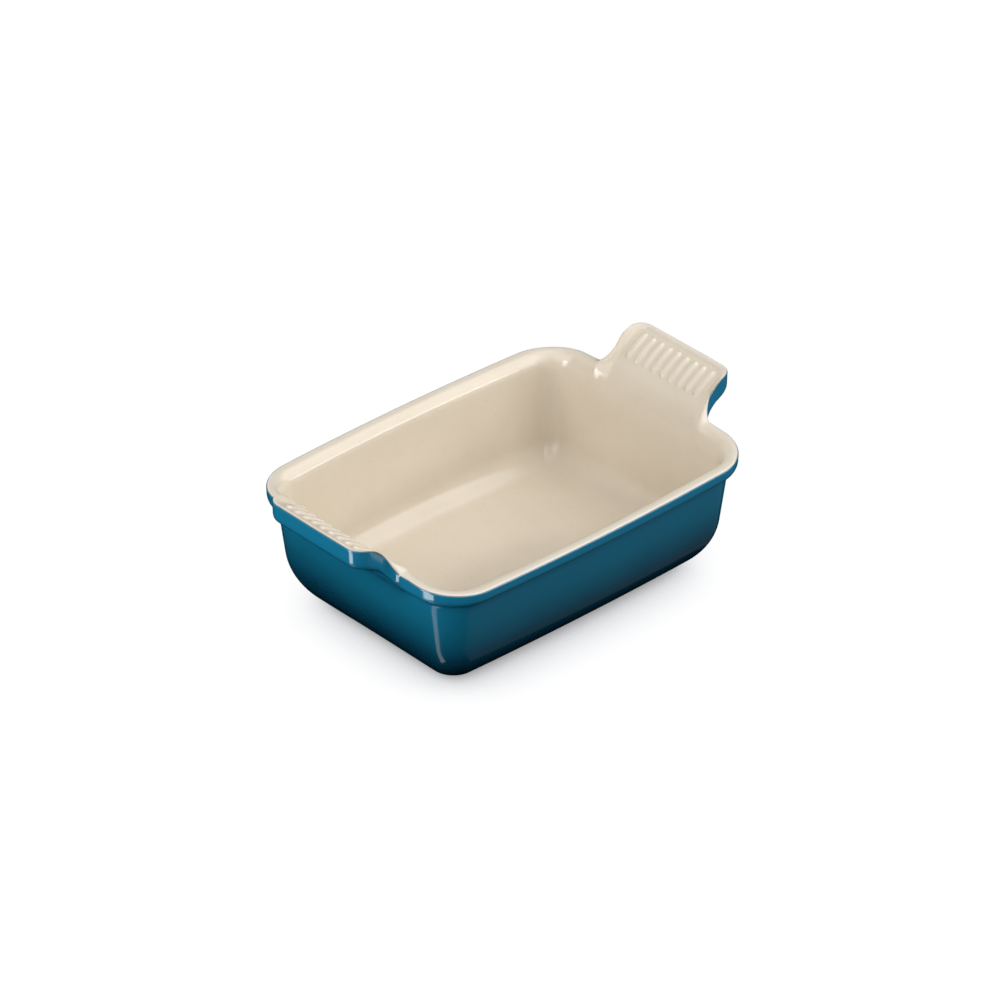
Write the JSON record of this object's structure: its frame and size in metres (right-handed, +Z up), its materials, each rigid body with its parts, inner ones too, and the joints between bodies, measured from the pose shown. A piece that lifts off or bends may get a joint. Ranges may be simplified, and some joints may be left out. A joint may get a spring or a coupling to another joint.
{
  "type": "baking dish",
  "caption": "Rectangular stoneware baking dish with rounded walls, a thick banded rim and a ribbed lug handle rising from each end.",
  "frame": {"origin": "centre of the footprint on the surface the dish stands on", "axes": "+X from one handle to the other, +Y across the width, +Z up out of the well"},
  "size_m": [0.2442, 0.1518, 0.0858],
  "materials": {
    "clay": "bare fired stoneware, fine grain, matt",
    "cream_glaze": "smooth satin gloss glaze, warm cream, paler where it thins on edges",
    "teal_glaze": "glossy glaze graded from teal at the rim to near black navy at the foot",
    "base_glaze": "glossy near black navy glaze"
  },
  "bodies": {
    "root": {"stoneware_body": "clay", "interior_glaze": "cream_glaze", "exterior_glaze": "teal_glaze", "underside_glaze": "base_glaze"}
  },
  "joints": []
}
